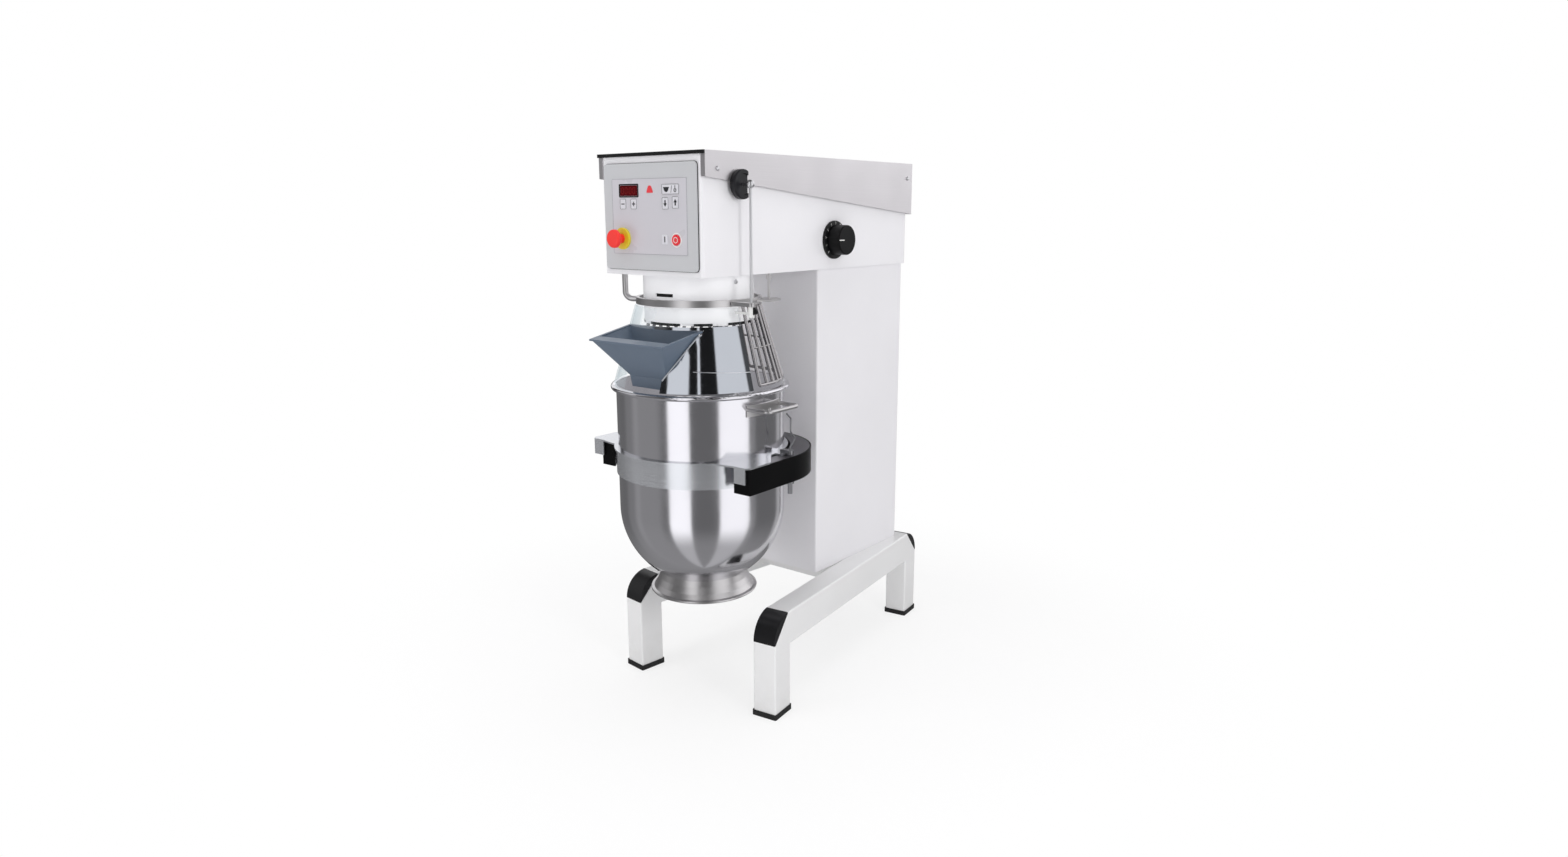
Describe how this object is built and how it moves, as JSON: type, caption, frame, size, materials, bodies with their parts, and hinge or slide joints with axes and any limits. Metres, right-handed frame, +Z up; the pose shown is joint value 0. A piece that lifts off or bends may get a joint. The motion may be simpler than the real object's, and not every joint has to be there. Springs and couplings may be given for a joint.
{
  "type": "planetary floor mixer",
  "caption": "Floor-standing planetary food mixer: white column and head with a steel lid, lifting steel bowl in a yoke, swing-open guard with feed funnel, keypad and speed dial.",
  "frame": {"origin": "on the floor, under the middle of the machine's outer box; the bowl axis stands 0.282 m in front of it, at y = -0.282", "axes": "+Z up; the machine faces -Y; +X is its right side seen from behind, where the speed dial is"},
  "size_m": [0.546, 1.0737, 1.392],
  "materials": {
    "white_paint": "satin",
    "column_paint": "satin",
    "head_paint": "satin",
    "casting_paint": "satin",
    "yoke_steel": "brushed",
    "lid_steel": "brushed",
    "bowl_steel": "brushed",
    "band_steel": "brushed",
    "polished_steel": "polished",
    "guard_steel": "polished",
    "wire_steel": "polished",
    "ground_steel": "ground",
    "screw_steel": "polished",
    "plated_steel": "zinc plated",
    "tool_aluminium": "satin",
    "pulley_iron": "machined",
    "motor_paint": "satin",
    "panel_silver": "satin",
    "membrane_film": "satin",
    "display_glass": "gloss",
    "key_film": "satin",
    "stop_red": "gloss",
    "estop_red": "gloss",
    "estop_yellow": "gloss",
    "board_green": "satin",
    "black_plastic": "satin",
    "dial_black": "satin",
    "knob_black": "satin",
    "cover_black": "satin",
    "switch_black": "satin",
    "cap_black": "satin",
    "foot_rubber": "matt",
    "belt_rubber": "matt",
    "cable_rubber": "matt",
    "hinge_white": "satin",
    "clear_shell": "clear",
    "funnel_grey": "satin"
  },
  "bodies": {
    "root": {"base_frame": "white_paint", "corner_caps": "cap_black", "foot_caps": "foot_rubber", "column_shell": "column_paint", "back_panel": "column_paint", "guide_rods": "ground_steel", "actuator_body": "motor_paint", "head_housing": "head_paint", "head_lid": "lid_steel", "lid_front_trim": "black_plastic", "case_screws": "screw_steel", "control_panel": "panel_silver", "keypad_membrane": "membrane_film", "display_window": "display_glass", "control_board": "board_green", "estop_collar": "estop_yellow", "speed_dial": "dial_black", "speed_potentiometer": "black_plastic", "interlock_cover": "switch_black", "interlock_ball_stud": "screw_steel", "ring_gear": "ground_steel", "planetary_housing": "casting_paint", "bearing_housing": "pulley_iron", "main_bearings": "ground_steel", "drive_motor": "motor_paint", "drive_belt": "belt_rubber", "frequency_inverter": "black_plastic", "power_cable": "cable_rubber", "guard_ring": "polished_steel", "guard_wires": "wire_steel"},
    "lift": {"lift_carriage": "casting_paint", "actuator_rod": "ground_steel", "bowl_yoke": "yoke_steel", "yoke_covers": "cover_black", "bowl": "bowl_steel", "bowl_foot_ring": "polished_steel", "bowl_band": "band_steel", "bowl_handles": "polished_steel"},
    "right_clamp": {"right_bowl_clamp": "plated_steel"},
    "left_clamp": {"left_bowl_clamp": "plated_steel"},
    "guard_door": {"guard_shell": "clear_shell", "guard_plate": "guard_steel", "guard_hinge_block": "hinge_white", "guard_rod": "screw_steel"},
    "funnel": {"funnel": "funnel_grey"},
    "planet": {"planet_head": "casting_paint", "main_shaft": "ground_steel", "main_pulley": "pulley_iron"},
    "agitator": {"agitator_shaft": "ground_steel", "beater": "tool_aluminium"},
    "motor": {"motor_rotor": "pulley_iron"},
    "knob": {"speed_knob": "knob_black"},
    "estop": {"estop_button": "estop_red"},
    "stop": {"stop_button": "stop_red"},
    "timer_minus": {"timer_minus_key": "key_film"},
    "timer_plus": {"timer_plus_key": "key_film"},
    "bowl_down": {"bowl_down_key": "key_film"},
    "bowl_up": {"bowl_up_key": "key_film"},
    "mode": {"mode_key": "key_film"},
    "start": {"start_key": "key_film"}
  },
  "joints": [
    {"name": "bowl_lift", "type": "slide", "parent": "root", "child": "lift", "axis": [0, 0, 1], "range_m": [-0.15, 0]},
    {"name": "right_clamp_turn", "type": "hinge", "parent": "lift", "child": "right_clamp", "pos_m": [0.25, -0.234, 0.63], "axis": [0, 0, 1], "range_deg": [0, 90]},
    {"name": "left_clamp_turn", "type": "hinge", "parent": "lift", "child": "left_clamp", "pos_m": [-0.25, -0.234, 0.63], "axis": [0, 0, 1], "range_deg": [-90, 0]},
    {"name": "guard_swing", "type": "hinge", "parent": "root", "child": "guard_door", "pos_m": [0.204, -0.324, 1.03], "axis": [0, 0, 1], "range_deg": [0, 110]},
    {"name": "funnel_slide", "type": "slide", "parent": "guard_door", "child": "funnel", "axis": [0, -1, 0], "range_m": [0, 0.14]},
    {"name": "planet_turn", "type": "hinge", "parent": "root", "child": "planet", "pos_m": [0, -0.282, 1.02], "axis": [0, 0, 1], "continuous": true},
    {"name": "agitator_spin", "type": "hinge", "parent": "planet", "child": "agitator", "pos_m": [0.07, -0.282, 1], "axis": [0, 0, 1], "continuous": true},
    {"name": "motor_turn", "type": "hinge", "parent": "root", "child": "motor", "pos_m": [0, 0.198, 1.3], "axis": [0, 0, 1], "continuous": true},
    {"name": "speed_knob_turn", "type": "hinge", "parent": "root", "child": "knob", "pos_m": [0.18, 0.067, 1.186], "axis": [1, 0, 0], "range_deg": [-135, 135]},
    {"name": "estop_push", "type": "slide", "parent": "root", "child": "estop", "axis": [0, 1, 0], "range_m": [0, 0.005], "stiffness_N_per_m": 800},
    {"name": "stop_push", "type": "slide", "parent": "root", "child": "stop", "axis": [0, 1, 0], "range_m": [0, 0.0012], "stiffness_N_per_m": 800},
    {"name": "timer_minus_push", "type": "slide", "parent": "root", "child": "timer_minus", "axis": [0, 1, 0], "range_m": [0, 0.0012], "stiffness_N_per_m": 800},
    {"name": "timer_plus_push", "type": "slide", "parent": "root", "child": "timer_plus", "axis": [0, 1, 0], "range_m": [0, 0.0012], "stiffness_N_per_m": 800},
    {"name": "bowl_down_push", "type": "slide", "parent": "root", "child": "bowl_down", "axis": [0, 1, 0], "range_m": [0, 0.0012], "stiffness_N_per_m": 800},
    {"name": "bowl_up_push", "type": "slide", "parent": "root", "child": "bowl_up", "axis": [0, 1, 0], "range_m": [0, 0.0012], "stiffness_N_per_m": 800},
    {"name": "mode_push", "type": "slide", "parent": "root", "child": "mode", "axis": [0, 1, 0], "range_m": [0, 0.0012], "stiffness_N_per_m": 800},
    {"name": "start_push", "type": "slide", "parent": "root", "child": "start", "axis": [0, 1, 0], "range_m": [0, 0.0012], "stiffness_N_per_m": 800}
  ],
  "couplings": [
    {"joint": "agitator_spin", "follows": "planet_turn", "ratio": -3},
    {"joint": "motor_turn", "follows": "planet_turn", "ratio": 3}
  ]
}
